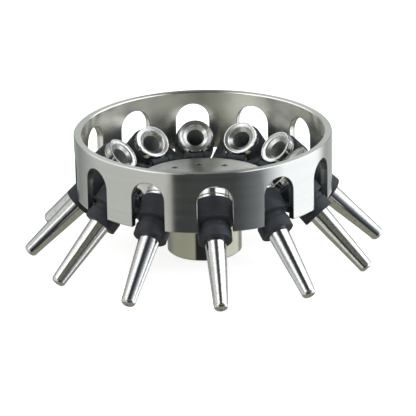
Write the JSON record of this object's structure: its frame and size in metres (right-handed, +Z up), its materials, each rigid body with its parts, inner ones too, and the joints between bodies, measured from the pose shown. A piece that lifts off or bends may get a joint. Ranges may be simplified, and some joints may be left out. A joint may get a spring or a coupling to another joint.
{
  "type": "swing-out centrifuge rotor",
  "caption": "Swing-out centrifuge rotor: a ring with arched windows around hinged carriers that hold tapered metal tube shields, on a steel hub.",
  "frame": {"origin": "centre of the hub's bottom face, on the spindle axis", "axes": "+Z up along the spindle; +X through the first tube station; stations every 30 degrees"},
  "size_m": [0.3566, 0.3566, 0.1236],
  "materials": {
    "machined_ring": "fine turned, satin",
    "polished_hub": "polished",
    "bright_shield": "polished",
    "black_carrier": "black anodised, semi-gloss",
    "screw_steel": "dark steel",
    "pin_steel": "ground",
    "rubber": "matt black"
  },
  "bodies": {
    "rotor": {"rotor_body": "machined_ring", "hub": "polished_hub", "hub_screws": "screw_steel", "bracket_screws": "screw_steel", "hinge_pins": "pin_steel", "hinge_bracket_01": "black_carrier", "hinge_bracket_02": "black_carrier", "hinge_bracket_03": "black_carrier", "hinge_bracket_04": "black_carrier", "hinge_bracket_05": "black_carrier", "hinge_bracket_06": "black_carrier", "hinge_bracket_07": "black_carrier", "hinge_bracket_08": "black_carrier", "hinge_bracket_09": "black_carrier", "hinge_bracket_10": "black_carrier", "hinge_bracket_11": "black_carrier", "hinge_bracket_12": "black_carrier"},
    "carrier_01": {"tube_carrier_01": "black_carrier", "tube_shield_01": "bright_shield", "tube_cushion_01": "rubber"},
    "carrier_02": {"tube_carrier_02": "black_carrier", "tube_shield_02": "bright_shield", "tube_cushion_02": "rubber"},
    "carrier_03": {"tube_carrier_03": "black_carrier", "tube_shield_03": "bright_shield", "tube_cushion_03": "rubber"},
    "carrier_04": {"tube_carrier_04": "black_carrier", "tube_shield_04": "bright_shield", "tube_cushion_04": "rubber"},
    "carrier_05": {"tube_carrier_05": "black_carrier", "tube_shield_05": "bright_shield", "tube_cushion_05": "rubber"},
    "carrier_06": {"tube_carrier_06": "black_carrier", "tube_shield_06": "bright_shield", "tube_cushion_06": "rubber"},
    "carrier_07": {"tube_carrier_07": "black_carrier", "tube_shield_07": "bright_shield", "tube_cushion_07": "rubber"},
    "carrier_08": {"tube_carrier_08": "black_carrier", "tube_shield_08": "bright_shield", "tube_cushion_08": "rubber"},
    "carrier_09": {"tube_carrier_09": "black_carrier", "tube_shield_09": "bright_shield", "tube_cushion_09": "rubber"},
    "carrier_10": {"tube_carrier_10": "black_carrier", "tube_shield_10": "bright_shield", "tube_cushion_10": "rubber"},
    "carrier_11": {"tube_carrier_11": "black_carrier", "tube_shield_11": "bright_shield", "tube_cushion_11": "rubber"},
    "carrier_12": {"tube_carrier_12": "black_carrier", "tube_shield_12": "bright_shield", "tube_cushion_12": "rubber"}
  },
  "joints": [
    {"name": "carrier_01_swing", "type": "hinge", "parent": "rotor", "child": "carrier_01", "pos_m": [0.074, 0, 0.0706], "axis": [0, -1, 0], "range_deg": [0, 43.7]},
    {"name": "carrier_02_swing", "type": "hinge", "parent": "rotor", "child": "carrier_02", "pos_m": [0.06409, 0.037, 0.0706], "axis": [0.5, -0.866, 0], "range_deg": [0, 43.7]},
    {"name": "carrier_03_swing", "type": "hinge", "parent": "rotor", "child": "carrier_03", "pos_m": [0.037, 0.06409, 0.0706], "axis": [0.866, -0.5, 0], "range_deg": [0, 43.7]},
    {"name": "carrier_04_swing", "type": "hinge", "parent": "rotor", "child": "carrier_04", "pos_m": [0, 0.074, 0.0706], "axis": [1, 0, 0], "range_deg": [0, 43.7]},
    {"name": "carrier_05_swing", "type": "hinge", "parent": "rotor", "child": "carrier_05", "pos_m": [-0.037, 0.06409, 0.0706], "axis": [0.866, 0.5, 0], "range_deg": [0, 43.7]},
    {"name": "carrier_06_swing", "type": "hinge", "parent": "rotor", "child": "carrier_06", "pos_m": [-0.06409, 0.037, 0.0706], "axis": [0.5, 0.866, 0], "range_deg": [0, 43.7]},
    {"name": "carrier_07_swing", "type": "hinge", "parent": "rotor", "child": "carrier_07", "pos_m": [-0.074, 0, 0.0706], "axis": [0, 1, 0], "range_deg": [0, 43.7]},
    {"name": "carrier_08_swing", "type": "hinge", "parent": "rotor", "child": "carrier_08", "pos_m": [-0.06409, -0.037, 0.0706], "axis": [-0.5, 0.866, 0], "range_deg": [0, 43.7]},
    {"name": "carrier_09_swing", "type": "hinge", "parent": "rotor", "child": "carrier_09", "pos_m": [-0.037, -0.06409, 0.0706], "axis": [-0.866, 0.5, 0], "range_deg": [0, 43.7]},
    {"name": "carrier_10_swing", "type": "hinge", "parent": "rotor", "child": "carrier_10", "pos_m": [0, -0.074, 0.0706], "axis": [-1, 0, 0], "range_deg": [0, 43.7]},
    {"name": "carrier_11_swing", "type": "hinge", "parent": "rotor", "child": "carrier_11", "pos_m": [0.037, -0.06409, 0.0706], "axis": [-0.866, -0.5, 0], "range_deg": [0, 43.7]},
    {"name": "carrier_12_swing", "type": "hinge", "parent": "rotor", "child": "carrier_12", "pos_m": [0.06409, -0.037, 0.0706], "axis": [-0.5, -0.866, 0], "range_deg": [0, 43.7]}
  ]
}
